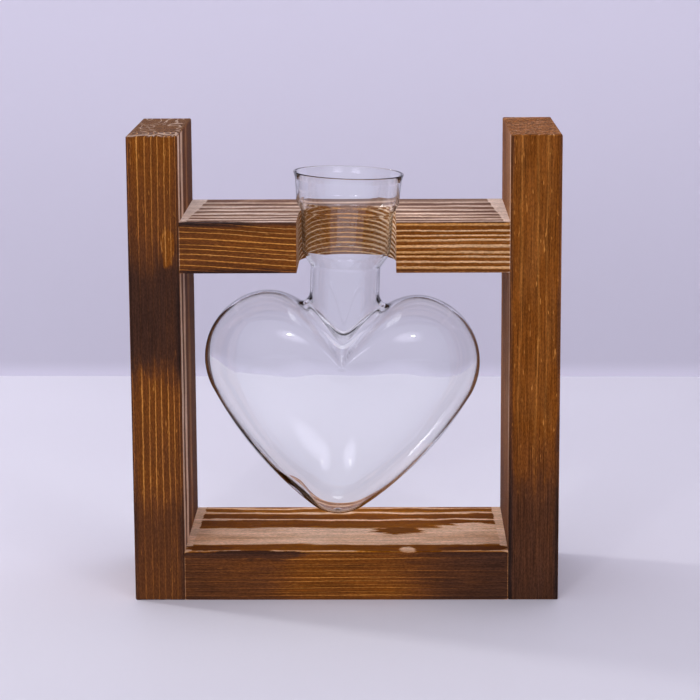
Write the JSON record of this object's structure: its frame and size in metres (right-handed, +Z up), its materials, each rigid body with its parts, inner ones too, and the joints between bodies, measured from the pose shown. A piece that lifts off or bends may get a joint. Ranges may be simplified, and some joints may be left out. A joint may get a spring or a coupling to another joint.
{
  "type": "propagation vase",
  "caption": "Heart-shaped clear glass propagation vase hanging by its collar in a notched crossbar of a torched pine stand, lifted out forwards.",
  "frame": {"origin": "on the ground under the middle of the stand", "axes": "+Z is up, +X to the right seen from the front, and the open side of the crossbar's notch faces -Y"},
  "size_m": [0.152, 0.064, 0.1675],
  "materials": {
    "post_wood": "torched pine, satin",
    "bar_wood": "torched pine, satin",
    "glass": "clear blown glass, fire-polished rim",
    "screw_steel": "zinc-plated"
  },
  "bodies": {
    "stand": {"left_post": "post_wood", "right_post": "post_wood", "top_bar": "bar_wood", "bottom_bar": "bar_wood", "top_left_screws": "screw_steel", "top_right_screws": "screw_steel", "bottom_left_screws": "screw_steel", "bottom_right_screws": "screw_steel"},
    "vase": {"glass_vase": "glass"}
  },
  "joints": [
    {"name": "vase_slide", "type": "slide", "parent": "stand", "child": "vase", "axis": [0, -1, 0], "range_m": [0, 0.075]}
  ]
}
